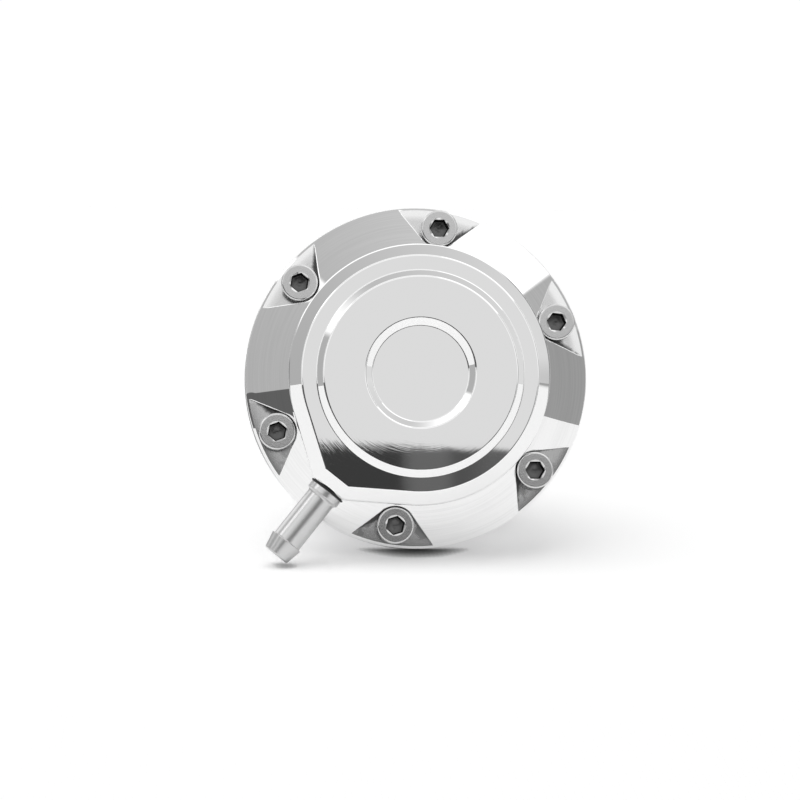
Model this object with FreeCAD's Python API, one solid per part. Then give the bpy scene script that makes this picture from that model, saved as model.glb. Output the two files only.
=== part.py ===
import FreeCAD, Part
import math
import os

from FreeCAD import Vector

# Wastegate actuator: a billet diaphragm actuator with one pressure port, in millimetres.
#
# The axis is Y. The mounting face of the housing lies at Y = 0, and the origin is where the
# axis crosses it. The rod leaves the housing along +Y and the cap faces -Y. Angles in the
# X-Z plane are counted from +X towards +Z, as they are seen from the cap's side.
#
# A pipe blows air through the nipple into the chamber under the cap. The diaphragm and its
# piston cup then push the rod out against two nested springs, and the rod opens the valve.

# The radial sizes start at the rod and add up outwards: each piece leaves room for the one
# inside it, and together they make a flange of 80.

# Flange joint between the cap and the housing
cap_rim_thickness = 4.0
housing_flange_thickness = 6.0
housing_depth = 42.0
rim_break = 0.6
edge_break = 0.3

# Cap screws, six M5 socket heads, each in a pocket of its own
screw_count = 6
screw_edge_distance = 5.0
first_screw_angle = 21.6
screw_diameter = 5.0
screw_pitch = 0.8
screw_length = 10.0
screw_head_diameter = 8.5
screw_head_height = 5.0
screw_hex_across = 4.0
screw_hex_depth = 2.6
screw_hex_turns = (-6.0, 0.0, 21.0, 20.0, 17.0, 0.0)
screw_hole_clearance = 0.25
pocket_clearance = 0.3
pocket_opening_angle = 90.0

# Cap
boss_setback = 0.25
boss_height = 15.5
boss_chamfer = 3.0
skirt_rise = 5.0
step_setback = 3.5
step_rise = 1.5
step_slope_width = 1.5
recess_diameter = 25.2
recess_depth = 1.5
recess_slope_width = 1.5
roof_thickness = 3.0
chamber_inset = 1.0
chamber_mouth_break = 1.2
chamber_corner = 2.0
stop_ring_diameter = 31.0
stop_ring_width = 3.0

# Nose on the cap that carries the nipple
nipple_angle = 231.6
nose_reach = 3.55
nose_side_angle = 34.4
nose_inner_corner = 0.4

# Hose nipple, screwed into the nose on a sealing ring
nipple_height = 8.6
nipple_length = 19.2
nipple_collar_diameter = 8.3
nipple_collar_length = 1.3
nipple_fillet = 0.65
nipple_tube_diameter = 7.0
nipple_barb_diameter = 8.0
nipple_barb_length = 4.1
nipple_tip_diameter = 6.4
nipple_bore_diameter = 3.4
nipple_thread_diameter = 6.0
nipple_thread_pitch = 1.0
nipple_thread_length = 5.6
nipple_seal_diameter = 8.8
nipple_seal_thickness = 0.6

# Housing
canister_wall = 4.0
base_thickness = 9.0
base_taper_width = 6.5
base_taper_length = 8.0
flange_fillet = 3.0
floor_fillet = 2.0
guide_boss_wall = 4.0
vent_diameter = 2.5
vent_mouth_diameter = 5.0
vent_mouth_depth = 1.5
vent_angle = 270.0
vent_height = 8.0

# Diaphragm, moulded with a bead round its edge and clamped between cap and housing
diaphragm_thickness = 0.8
diaphragm_land = 4.0
diaphragm_edge_margin = 0.75
diaphragm_foot_inset = 0.8
convolution_width = 5.5
diaphragm_bend_radius = 1.4
bead_width = 2.0
bead_depth = 1.4
bead_inset = 0.2
bead_clearance = 0.1

# Piston cup and what clamps the diaphragm to it
crown_thickness = 2.0
piston_spring_play = 1.6
piston_skirt_length = 13.0
piston_bend_radius = 2.2
diaphragm_wrap_clearance = 0.5
plate_inset = 2.0
plate_thickness = 1.5
plate_edge_break = 0.4
lock_washer_thickness = 1.2
lock_washer_diameter = 10.6
backing_washer_thickness = 1.5
backing_washer_diameter = 18.0
piston_nut_height = 3.2
nut_across_flats = 10.0
spigot_proud = 0.6
roof_gap = 0.7

# Rod
stroke = 12.0
stop_gap = 0.3
rod_diameter = 8.0
rod_running_clearance = 0.05
rod_plain_reach = 38.0
rod_thread_diameter = 6.0
rod_thread_pitch = 1.0
rod_thread_in_eye = 14.0
rod_tip_break = 0.7
rod_lock_nut_height = 5.0

# Rod end, with an eye for the pin of the valve's lever
eye_reach = 100.0
eye_diameter = 16.0
eye_thickness = 6.0
eye_bore_diameter = 8.1
eye_bore_break = 0.4
rod_end_length = 27.0
rod_end_diameter = 10.5
rod_end_thread_depth = 17.0
rod_end_flats_across = 9.0
rod_end_flats_length = 9.0
rod_end_flats_start = 3.0
rod_end_web_length = 7.0

# Springs, their round wire drawn with a dozen flats
wire_sides = 12
spring_seat_thickness = 1.0
spring_seat_lip = 2.6
spring_seat_play = 0.5
outer_spring_wire = 3.2
outer_spring_turns = 4.5
inner_spring_wire = 2.0
inner_spring_turns = 5.5
boss_spring_play = 1.2
spring_gap = 2.0

# Rod guide: a flanged bush, a wiper seal and the ring that holds them
bush_diameter = 12.0
bush_end_inset = 2.7
bush_flange_play = 0.2
bush_flange_thickness = 1.5
fitted_clearance = 0.02
wiper_width = 2.5
wiper_thickness = 3.0
wiper_lip_width = 1.0
circlip_thickness = 1.0
circlip_bite = 0.5
circlip_width = 1.7
circlip_gap_angle = 50.0
circlip_gap_turn = 90.0
circlip_groove_play = 0.1
guide_recess_edge = 0.4

# Mounting studs, two M6
stud_circle_diameter = 38.0
stud_count = 2
stud_diameter = 6.0
stud_pitch = 1.0
stud_tap_length = 6.8
stud_free_length = 15.0
stud_tip_break = 0.7
stud_mouth_clearance = 0.3
tap_drill_run = 0.6
thread_clearance = 0.02

# Stations along the axis, from the cap's front face to the rod's eye
parting_y = -housing_depth
rim_y = parting_y - cap_rim_thickness
flange_back_y = parting_y + housing_flange_thickness
skirt_top_y = rim_y - skirt_rise
boss_y = rim_y - boss_height
step_y = boss_y - step_rise
recess_y = step_y + recess_depth
nipple_y = rim_y - nipple_height
roof_y = boss_y + roof_thickness
spigot_end_y = roof_y + roof_gap
nut_top_y = spigot_end_y + spigot_proud
nut_bottom_y = nut_top_y + piston_nut_height
plate_top_y = nut_bottom_y + lock_washer_thickness
plate_bottom_y = plate_top_y + plate_thickness
crown_y = plate_bottom_y + diaphragm_thickness
crown_bottom_y = crown_y + crown_thickness
shoulder_y = crown_bottom_y + backing_washer_thickness
guide_top_y = shoulder_y + stroke + stop_gap
floor_y = -base_thickness
seat_top_y = floor_y - spring_seat_thickness
rod_end_y = eye_reach - rod_end_length
lock_nut_y = rod_end_y - rod_lock_nut_height

# Radii from the rod outwards
rod_radius = rod_diameter / 2
bush_radius = bush_diameter / 2
wiper_radius = bush_radius + wiper_width
circlip_radius = wiper_radius + circlip_bite
circlip_inner_radius = circlip_radius - circlip_width
guide_boss_radius = bush_radius + guide_boss_wall
inner_spring_radius = guide_boss_radius + boss_spring_play + inner_spring_wire / 2
outer_spring_radius = inner_spring_radius + (inner_spring_wire + outer_spring_wire) / 2 + spring_gap
piston_radius = outer_spring_radius + outer_spring_wire / 2 + piston_spring_play + crown_thickness
plate_radius = piston_radius - plate_inset
bore_radius = piston_radius + convolution_width
canister_radius = bore_radius + canister_wall
diaphragm_edge_radius = bore_radius + diaphragm_land
screw_hole_radius = screw_diameter / 2 + screw_hole_clearance
screw_circle_radius = diaphragm_edge_radius + diaphragm_edge_margin + screw_hole_radius
flange_radius = screw_circle_radius + screw_edge_distance

# Radii of the cap
pocket_radius = screw_head_diameter / 2 + pocket_clearance
boss_radius = screw_circle_radius - pocket_radius - boss_setback
chamber_radius = bore_radius - chamber_inset
diaphragm_foot_radius = chamber_radius - diaphragm_foot_inset
nose_distance = boss_radius + nose_reach
nose_corner_radius = boss_chamfer + nose_inner_corner


# A thread that is hidden in its hole is drawn as a cylinder of its pitch diameter.
def pitch_radius(diameter, pitch):
    return diameter / 2 - 0.3248 * pitch


screw_pitch_radius = pitch_radius(screw_diameter, screw_pitch)
stud_pitch_radius = pitch_radius(stud_diameter, stud_pitch)
rod_pitch_radius = pitch_radius(rod_thread_diameter, rod_thread_pitch)
nipple_pitch_radius = pitch_radius(nipple_thread_diameter, nipple_thread_pitch)
nut_bore_radius = rod_pitch_radius + thread_clearance
spigot_hole_radius = rod_pitch_radius + screw_hole_clearance


# Shapes

def around(radius, angle, y):
    """A point at a radius and an angle about the axis."""
    turn = math.radians(angle)
    return Vector(radius * math.cos(turn), y, radius * math.sin(turn))


def turned(profile):
    """A solid turned about the axis from a closed outline of radius and station."""
    points = [Vector(radius, y, 0) for radius, y in profile]
    face = Part.Face(Part.makePolygon(points + points[:1]))
    return face.revolve(Vector(0, 0, 0), Vector(0, 1, 0), 360)


def turned_wire(edges):
    """A solid turned about the axis from the edges of a closed outline in the X-Y plane."""
    face = Part.Face(Part.Wire(Part.__sortEdges__(edges)))
    return face.revolve(Vector(0, 0, 0), Vector(0, 1, 0), 360)


def bar(radius, y_low, y_high, centre=None):
    """A cylinder along the axis, or beside it at a centre in the X-Z plane."""
    x, z = (centre.x, centre.z) if centre else (0, 0)
    return Part.makeCylinder(radius, y_high - y_low, Vector(x, y_low, z), Vector(0, 1, 0))


def ring(inner_radius, outer_radius, y_low, y_high):
    return turned([(inner_radius, y_low), (outer_radius, y_low),
                   (outer_radius, y_high), (inner_radius, y_high)])


def prism(points, y_low, y_high):
    """A straight-sided solid along the axis over an outline of points in the X-Z plane."""
    outline = [Vector(point.x, y_low, point.z) for point in points]
    face = Part.Face(Part.makePolygon(outline + outline[:1]))
    return face.extrude(Vector(0, y_high - y_low, 0))


def hexagon(across_flats, turn, centre=None):
    """The corners of a hexagon, one corner at the angle given by turn."""
    middle = centre if centre else Vector(0, 0, 0)
    corner_radius = across_flats / math.sqrt(3)
    return [middle + around(corner_radius, turn + 60 * k, 0) for k in range(6)]


def bent_sheet(line, thickness, bend_radius):
    """A turned sheet of even thickness whose middle follows a line of radius and station."""
    points = [Vector(radius, y, 0) for radius, y in line]
    runs = [(b - a).normalize() for a, b in zip(points, points[1:])]
    sides = [Vector(-run.y, run.x, 0) for run in runs]
    half = thickness / 2
    edges = []
    for sign in (1, -1):
        start = points[0] + sides[0] * half * sign
        for k in range(1, len(points) - 1):
            turn = sides[k - 1].getAngle(sides[k])
            reach = bend_radius * math.tan(turn / 2)
            bend_side = 1 if runs[k - 1].cross(runs[k]).z > 0 else -1
            bisector = (runs[k] - runs[k - 1]).normalize()
            middle = points[k] + bisector * (bend_radius / math.cos(turn / 2))
            radius = bend_radius - half * sign * bend_side
            before = points[k] - runs[k - 1] * reach + sides[k - 1] * half * sign
            after = points[k] + runs[k] * reach + sides[k] * half * sign
            edges.append(Part.makeLine(start, before))
            edges.append(Part.Arc(before, middle - bisector * radius, after).toShape())
            start = after
        edges.append(Part.makeLine(start, points[-1] + sides[-1] * half * sign))
    edges.append(Part.makeLine(points[0] + sides[0] * half, points[0] - sides[0] * half))
    edges.append(Part.makeLine(points[-1] + sides[-1] * half, points[-1] - sides[-1] * half))
    return turned_wire(edges)


def broken_ends(radius, y_low, y_high, low_break, high_break):
    """A turned bar with a chamfer at each end, none where the chamfer is nought."""
    profile = [(0, y_low), (radius - low_break, y_low)]
    if low_break:
        profile.append((radius, y_low + low_break))
    if high_break:
        profile.append((radius, y_high - high_break))
    profile += [(radius - high_break, y_high), (0, y_high)]
    return turned(profile)


def nut(y_low, height):
    """A hexagon nut whose corners are chamfered on both faces."""
    blank = prism(hexagon(nut_across_flats, 30), y_low, y_low + height)
    corner = nut_across_flats / math.sqrt(3)
    flat = nut_across_flats / 2
    drop = (corner - flat) * math.tan(math.radians(30))
    cone = turned([(0, y_low), (flat, y_low), (corner, y_low + drop),
                   (corner, y_low + height - drop), (flat, y_low + height), (0, y_low + height)])
    return blank.common(cone).cut(bar(nut_bore_radius, y_low, y_low + height))


def coil_spring(wire, radius, turns, y_low, y_high, left_hand):
    """A compression spring with ground ends, which stand flat on both its seats."""
    height = y_high - y_low
    ground = wire / 4
    coil_height = height + 2 * ground
    pitch = coil_height / turns
    helix = Part.makeHelix(pitch, coil_height, radius)
    rise = pitch / (2 * math.pi * radius)
    upright = Vector(0, -rise, 1).normalize()
    corners = []
    for k in range(wire_sides + 1):
        turn = 2 * math.pi * k / wire_sides
        corners.append(Vector(radius, 0, 0) + Vector(1, 0, 0) * (wire / 2 * math.cos(turn))
                       + upright * (wire / 2 * math.sin(turn)))
    section = Part.makePolygon(corners)
    coil = Part.Wire(helix.Edges).makePipeShell([section], True, True)
    coil.rotate(Vector(0, 0, 0), Vector(1, 0, 0), -90)
    coil.translate(Vector(0, y_low - ground, 0))
    reach = 2 * radius + wire
    for low in (y_low - reach, y_high):
        beyond = Part.makeBox(2 * reach, reach, 2 * reach, Vector(-reach, low, -reach))
        coil = coil.cut(beyond)
    return coil.mirror(Vector(0, 0, 0), Vector(1, 0, 0)) if left_hand else coil


def screw_centre(k):
    return around(screw_circle_radius, first_screw_angle + k * 360 / screw_count, 0)


# Cap, turned and milled from one billet

def boss_outline(inset):
    """The boss's outline moved in by inset: a circle drawn out to a flat nose with round corners."""
    radius = boss_radius - inset
    corner = nose_corner_radius - inset
    side = math.radians(nose_side_angle)
    distance = nose_distance - nose_corner_radius
    spread = (boss_radius - nose_corner_radius - distance * math.cos(side)) / math.sin(side)
    out = around(1, nipple_angle, 0)
    across = around(1, nipple_angle + 90, 0)
    tangents, sides, bends, flats = [], [], [], []
    for sign in (1, -1):
        middle = out * distance + across * (spread * sign)
        tangents.append(around(radius, nipple_angle + nose_side_angle * sign, 0))
        sides.append(middle + around(corner, nipple_angle + nose_side_angle * sign, 0))
        bends.append(middle + around(corner, nipple_angle + nose_side_angle / 2 * sign, 0))
        flats.append(middle + out * corner)
    far = around(radius, nipple_angle + 180, 0)
    return Part.Wire([
        Part.Arc(tangents[0], far, tangents[1]).toShape(),
        Part.makeLine(tangents[1], sides[1]),
        Part.Arc(sides[1], bends[1], flats[1]).toShape(),
        Part.makeLine(flats[1], flats[0]),
        Part.Arc(flats[0], bends[0], sides[0]).toShape(),
        Part.makeLine(sides[0], tangents[0]),
    ])


def boss():
    """The boss with its chamfer: a straight wall, and a ruled slope up to the front face."""
    low = boss_outline(0)
    low.translate(Vector(0, parting_y, 0))
    wall = Part.Face(low).extrude(Vector(0, boss_y + boss_chamfer - parting_y, 0))
    foot = boss_outline(0)
    foot.translate(Vector(0, boss_y + boss_chamfer, 0))
    top = boss_outline(boss_chamfer)
    top.translate(Vector(0, boss_y, 0))
    slope = Part.makeLoft([foot, top], True, True)
    return wall.fuse(slope).removeSplitter()


def screw_pocket(k):
    """The cutter of a screw's pocket: straight walls from a round end out through the rim."""
    middle = screw_centre(k)
    angle = first_screw_angle + k * 360 / screw_count
    half = pocket_opening_angle / 2
    left = middle + around(pocket_radius, angle + 90 + half, 0)
    right = middle + around(pocket_radius, angle - 90 - half, 0)
    inner = middle - around(pocket_radius, angle, 0)
    left_out = left + around(flange_radius, angle + half, 0)
    right_out = right + around(flange_radius, angle - half, 0)
    outline = Part.Wire([
        Part.Arc(right, inner, left).toShape(),
        Part.makeLine(left, left_out),
        Part.makeLine(left_out, right_out),
        Part.makeLine(right_out, right),
    ])
    outline.translate(Vector(0, boss_y + boss_chamfer, 0))
    return Part.Face(outline).extrude(Vector(0, rim_y - boss_y - boss_chamfer, 0))


def chamber():
    """The pressure chamber under the roof, with the ring that stops the piston left standing."""
    room = turned([
        (0, parting_y), (chamber_radius + chamber_mouth_break, parting_y),
        (chamber_radius, parting_y - chamber_mouth_break),
        (chamber_radius, roof_y + chamber_corner), (chamber_radius - chamber_corner, roof_y),
        (0, roof_y),
    ])
    outer = stop_ring_diameter / 2
    stop = ring(outer - stop_ring_width, outer, roof_y, plate_top_y - stop_gap)
    return room.cut(stop)


def top_cap():
    foot_radius = flange_radius - rim_break
    skirt = turned([
        (0, parting_y), (flange_radius - edge_break, parting_y),
        (flange_radius, parting_y - edge_break), (flange_radius, rim_y + rim_break),
        (foot_radius, rim_y), (boss_radius, skirt_top_y), (0, skirt_top_y),
    ])
    step_foot = boss_radius - boss_chamfer - step_setback
    step = turned([(0, boss_y), (step_foot, boss_y), (step_foot - step_slope_width, step_y),
                   (0, step_y)])
    recess_top = recess_diameter / 2
    recess = turned([(0, step_y), (recess_top, step_y), (recess_top - recess_slope_width, recess_y),
                     (0, recess_y)])
    cap = skirt.fuse(boss()).fuse(step).cut(recess)
    for k in range(screw_count):
        cap = cap.cut(screw_pocket(k))
    for k in range(screw_count):
        cap = cap.cut(bar(screw_hole_radius, rim_y, parting_y, screw_centre(k)))
    out = around(1, nipple_angle, 0)
    seat = around(nose_distance, nipple_angle, nipple_y)
    hole_depth = nose_distance - chamber_radius + chamber_corner
    hole = Part.makeCylinder(nipple_pitch_radius + thread_clearance, hole_depth, seat, out * -1)
    return cap.cut(chamber()).cut(hole).removeSplitter()


def cap_screws():
    """One group of like screws: shank, head with a broken edge, and a hexagon socket."""
    screws = []
    head_radius = screw_head_diameter / 2
    head_y = rim_y - screw_head_height
    tip_y = rim_y + screw_length
    for k in range(screw_count):
        centre = screw_centre(k)
        body = turned([
            (0, head_y), (head_radius - edge_break, head_y), (head_radius, head_y + edge_break),
            (head_radius, rim_y), (screw_pitch_radius, rim_y),
            (screw_pitch_radius, tip_y - edge_break), (screw_pitch_radius - edge_break, tip_y),
            (0, tip_y),
        ])
        corners = hexagon(screw_hex_across, screw_hex_turns[k % len(screw_hex_turns)])
        socket = prism(corners, head_y, head_y + screw_hex_depth)
        drill = screw_hex_across / 2
        socket_floor_y = head_y + screw_hex_depth
        cone = turned([(0, socket_floor_y), (drill, socket_floor_y),
                       (0, socket_floor_y + drill * math.tan(math.radians(30)))])
        screw = body.cut(socket).cut(cone)
        screw.translate(centre)
        screws.append(screw)
    return Part.makeCompound(screws)


# Hose nipple

def on_nipple(solid):
    """Lay a solid turned about the Y axis on the nipple's own axis, at the nose's seat."""
    out = around(1, nipple_angle, 0)
    solid.rotate(Vector(0, 0, 0), Vector(0, 1, 0).cross(out), 90)
    solid.translate(around(nose_distance, nipple_angle, nipple_y))
    return solid


def hose_nipple():
    collar = nipple_collar_diameter / 2
    tube = nipple_tube_diameter / 2
    barb = nipple_barb_diameter / 2
    tip = nipple_tip_diameter / 2
    collar_low = nipple_seal_thickness
    collar_high = collar_low + nipple_collar_length
    barb_start = nipple_length - nipple_barb_length
    body = turned([
        (0, -nipple_thread_length), (nipple_pitch_radius - edge_break, -nipple_thread_length),
        (nipple_pitch_radius, -nipple_thread_length + edge_break),
        (nipple_pitch_radius, collar_low), (collar, collar_low),
        (collar, collar_high), (tube + nipple_fillet, collar_high),
        (tube, collar_high + nipple_fillet), (tube, barb_start), (barb, barb_start),
        (tip, nipple_length - edge_break), (tip - edge_break, nipple_length), (0, nipple_length),
    ])
    bore = bar(nipple_bore_diameter / 2, -nipple_thread_length, nipple_length)
    return on_nipple(body.cut(bore))


def nipple_seal():
    inner = nipple_pitch_radius + thread_clearance
    return on_nipple(ring(inner, nipple_seal_diameter / 2, 0, nipple_seal_thickness))


# Housing, turned from one billet

def housing():
    sheet_y = parting_y + diaphragm_thickness
    body = turned([
        (0, 0), (canister_radius - base_taper_width, 0), (canister_radius, -base_taper_length),
        (canister_radius, flange_back_y), (flange_radius - rim_break, flange_back_y),
        (flange_radius, flange_back_y - rim_break), (flange_radius, parting_y + edge_break),
        (flange_radius - edge_break, parting_y), (diaphragm_edge_radius, parting_y),
        (diaphragm_edge_radius, sheet_y), (bore_radius, sheet_y), (bore_radius, floor_y),
        (guide_boss_radius, floor_y), (guide_boss_radius, guide_top_y + edge_break),
        (guide_boss_radius - edge_break, guide_top_y), (0, guide_top_y),
    ])
    rounded = [
        edge for edge in body.Edges
        if edge.BoundBox.YLength < 0.001
        and abs(edge.BoundBox.YMax - flange_back_y) < 0.001
        and abs(edge.BoundBox.XMax - canister_radius) < 0.001
    ]
    body = body.makeFillet(flange_fillet, rounded)
    corners = [
        edge for edge in body.Edges
        if edge.BoundBox.YLength < 0.001 and abs(edge.BoundBox.YMax - floor_y) < 0.001
    ]
    body = body.makeFillet(floor_fillet, corners)

    bead_outer = edge_of_bead() + bead_clearance
    bead_inner = edge_of_bead() - bead_width - bead_clearance
    groove = ring(bead_inner, bead_outer, sheet_y, sheet_y + bead_depth + bead_clearance)
    recess_radius = wiper_radius + fitted_clearance
    guide_recess = ring(0, recess_radius, guide_recess_floor(), 0)
    mouth = turned([(0, 0), (recess_radius + guide_recess_edge, 0),
                    (recess_radius, -guide_recess_edge), (0, -guide_recess_edge)])
    clip_low, clip_high = circlip_stations()
    clip_groove = ring(0, circlip_radius + circlip_groove_play,
                       clip_low - circlip_groove_play, clip_high + circlip_groove_play)
    bush_hole = bar(bush_radius + fitted_clearance, guide_top_y, 0)
    body = body.cut(groove).cut(guide_recess).cut(mouth).cut(clip_groove).cut(bush_hole)

    tap_radius = screw_pitch_radius + thread_clearance
    for k in range(screw_count):
        body = body.cut(bar(tap_radius, parting_y, flange_back_y, screw_centre(k)))
    stud_hole_radius = stud_pitch_radius + thread_clearance
    mouth_radius = stud_diameter / 2 + stud_mouth_clearance
    hole_floor_y = -stud_tap_length - tap_drill_run
    stud_hole = turned([(0, hole_floor_y), (stud_hole_radius, hole_floor_y),
                        (stud_hole_radius, stud_hole_radius - mouth_radius), (mouth_radius, 0),
                        (0, 0)])
    for k in range(stud_count):
        body = body.cut(stud_hole.translated(stud_centre(k)))

    vent_y = floor_y - vent_height
    out = around(1, vent_angle, 0)
    vent_start = around(bore_radius - vent_diameter, vent_angle, vent_y)
    vent = Part.makeCylinder(vent_diameter / 2, canister_radius, vent_start, out)
    mouth_start = around(canister_radius - vent_mouth_depth, vent_angle, vent_y)
    vent_mouth = Part.makeCylinder(vent_mouth_diameter / 2, canister_radius, mouth_start, out)
    return body.cut(vent).cut(vent_mouth).removeSplitter()


# Diaphragm, piston and the pieces that clamp them to the rod

def edge_of_bead():
    return diaphragm_edge_radius - bead_inset


def diaphragm():
    middle_y = parting_y + diaphragm_thickness / 2
    crown_middle_y = crown_y - diaphragm_thickness / 2
    head = piston_radius + diaphragm_wrap_clearance + diaphragm_thickness / 2
    sheet = bent_sheet([(diaphragm_edge_radius, middle_y), (diaphragm_foot_radius, middle_y),
                        (head, crown_middle_y), (spigot_hole_radius, crown_middle_y)],
                       diaphragm_thickness, diaphragm_bend_radius)
    sheet_y = parting_y + diaphragm_thickness
    outer = edge_of_bead()
    inner = outer - bead_width
    slant = bead_width / 4
    bead = turned([(inner, sheet_y), (outer, sheet_y), (outer, sheet_y + bead_depth - slant),
                   (outer - slant, sheet_y + bead_depth), (inner + slant, sheet_y + bead_depth),
                   (inner, sheet_y + bead_depth - slant)])
    return sheet.fuse(bead).removeSplitter()


def piston_cup():
    """A pressed cup: a flat crown under the diaphragm and a skirt round the springs."""
    middle_radius = piston_radius - crown_thickness / 2
    middle_y = crown_y + crown_thickness / 2
    return bent_sheet([(spigot_hole_radius, middle_y), (middle_radius, middle_y),
                       (middle_radius, crown_y + piston_skirt_length)],
                      crown_thickness, piston_bend_radius)


def retainer_plate():
    return turned([
        (spigot_hole_radius, plate_top_y), (plate_radius - plate_edge_break, plate_top_y),
        (plate_radius, plate_top_y + plate_edge_break),
        (plate_radius, plate_bottom_y - plate_edge_break),
        (plate_radius - plate_edge_break, plate_bottom_y), (spigot_hole_radius, plate_bottom_y),
    ])


def piston_lock_washer():
    return ring(spigot_hole_radius, lock_washer_diameter / 2, nut_bottom_y, plate_top_y)


def piston_backing_washer():
    return ring(spigot_hole_radius, backing_washer_diameter / 2, crown_bottom_y, shoulder_y)


def piston_nut():
    return nut(nut_top_y, piston_nut_height)


# Springs and their seat

def spring_seat():
    """A pressed ring on the housing's floor, with a lip that centres the outer spring."""
    coil_edge = outer_spring_radius + outer_spring_wire / 2
    lip = coil_edge + spring_seat_play + spring_seat_thickness / 2
    middle_y = floor_y - spring_seat_thickness / 2
    inner = guide_boss_radius + floor_fillet + spring_seat_play
    return bent_sheet([(inner, middle_y), (lip, middle_y),
                       (lip, seat_top_y - spring_seat_lip)],
                      spring_seat_thickness, spring_seat_thickness)


def outer_spring():
    return coil_spring(outer_spring_wire, outer_spring_radius, outer_spring_turns,
                       crown_bottom_y, seat_top_y, False)


def inner_spring():
    return coil_spring(inner_spring_wire, inner_spring_radius, inner_spring_turns,
                       crown_bottom_y, seat_top_y, True)


# Rod guide

def circlip_stations():
    """The ring's two faces, just inside the mounting face."""
    high = -guide_recess_edge - circlip_groove_play
    return high - circlip_thickness, high


def guide_recess_floor():
    low, high = circlip_stations()
    return low - wiper_thickness - bush_flange_thickness


def guide_bush():
    bore = rod_radius + rod_running_clearance
    flange = wiper_radius - bush_flange_play
    flange_low = guide_recess_floor()
    flange_high = flange_low + bush_flange_thickness
    end_y = guide_top_y + bush_end_inset
    return turned([
        (bore, flange_high), (flange, flange_high), (flange, flange_low), (bush_radius, flange_low),
        (bush_radius, end_y + edge_break), (bush_radius - edge_break, end_y), (bore, end_y),
    ])


def wiper_seal():
    """A rubber ring with a dished outer face, whose lip wipes the rod."""
    lip = rod_radius + rod_running_clearance
    low = guide_recess_floor() + bush_flange_thickness
    high = low + wiper_thickness
    middle = (lip + wiper_lip_width + circlip_inner_radius) / 2
    return turned([
        (lip, low), (wiper_radius, low), (wiper_radius, high), (circlip_inner_radius, high),
        (middle, low + wiper_thickness / 2), (lip + wiper_lip_width, high), (lip, high),
    ])


def guide_circlip():
    low, high = circlip_stations()
    clip = ring(circlip_inner_radius, circlip_radius, low, high)
    half = circlip_gap_angle / 2
    reach = 2 * circlip_radius
    wedge = prism([Vector(0, 0, 0), around(reach, circlip_gap_turn - half, 0),
                   around(reach, circlip_gap_turn + half, 0)], low, high)
    return clip.cut(wedge)


# Rod and rod end

def actuator_rod():
    """A ground rod with a thread at its outer end and a thinner spigot for the piston."""
    thread = rod_thread_diameter / 2
    end_y = rod_end_y + rod_thread_in_eye
    return turned([
        (0, spigot_end_y), (rod_pitch_radius - edge_break, spigot_end_y),
        (rod_pitch_radius, spigot_end_y + edge_break), (rod_pitch_radius, shoulder_y),
        (rod_radius, shoulder_y), (rod_radius, rod_plain_reach - edge_break),
        (rod_radius - edge_break, rod_plain_reach), (thread, rod_plain_reach),
        (thread, lock_nut_y), (rod_pitch_radius, lock_nut_y),
        (rod_pitch_radius, end_y - rod_tip_break), (rod_pitch_radius - rod_tip_break, end_y),
        (0, end_y),
    ])


def rod_lock_nut():
    return nut(lock_nut_y, rod_lock_nut_height)


def rod_end():
    """A round shank with wrench flats that runs out into a flat eye."""
    shank_end = eye_reach - eye_diameter / 2 + edge_break
    shank = broken_ends(rod_end_diameter / 2, rod_end_y, shank_end, edge_break, edge_break)
    flats_low = rod_end_y + rod_end_flats_start
    for side in (1, -1):
        edge = rod_end_flats_across / 2 if side > 0 else -rod_end_flats_across / 2 - rod_end_diameter
        shank = shank.cut(Part.makeBox(rod_end_diameter, rod_end_flats_length, rod_end_diameter,
                                       Vector(edge, flats_low, -rod_end_diameter / 2)))
    half = eye_thickness / 2
    eye = Part.makeCylinder(eye_diameter / 2, eye_thickness, Vector(-half, eye_reach, 0),
                            Vector(1, 0, 0))
    web_low = eye_reach - eye_diameter / 2 - rod_end_web_length
    web_points = [
        Vector(-half, web_low, -rod_end_diameter / 2), Vector(-half, web_low, rod_end_diameter / 2),
        Vector(-half, eye_reach, eye_diameter / 2), Vector(-half, eye_reach, -eye_diameter / 2),
    ]
    web = Part.Face(Part.makePolygon(web_points + web_points[:1])).extrude(Vector(eye_thickness, 0, 0))
    body = shank.fuse(web).fuse(eye).removeSplitter()
    bore = Part.makeCylinder(eye_bore_diameter / 2, 2 * eye_diameter,
                             Vector(-eye_diameter, eye_reach, 0), Vector(1, 0, 0))
    body = body.cut(bore)
    rims = [edge for edge in body.Edges if abs(abs(edge.BoundBox.XMax) - half) < 0.001
            and edge.BoundBox.XLength < 0.001
            and abs(edge.BoundBox.ZLength - eye_bore_diameter) < 0.001]
    body = body.makeChamfer(eye_bore_break, rims)
    return body.cut(bar(nut_bore_radius, rod_end_y, rod_end_y + rod_end_thread_depth))


# Mounting studs

def stud_centre(k):
    return around(stud_circle_diameter / 2, k * 360 / stud_count, 0)


def mount_studs():
    studs = []
    radius = stud_diameter / 2
    for k in range(stud_count):
        stud = turned([
            (0, -stud_tap_length), (stud_pitch_radius - edge_break, -stud_tap_length),
            (stud_pitch_radius, -stud_tap_length + edge_break), (stud_pitch_radius, 0),
            (radius, 0), (radius, stud_free_length - stud_tip_break),
            (radius - stud_tip_break, stud_free_length), (0, stud_free_length),
        ])
        stud.translate(stud_centre(k))
        studs.append(stud)
    return Part.makeCompound(studs)


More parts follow.
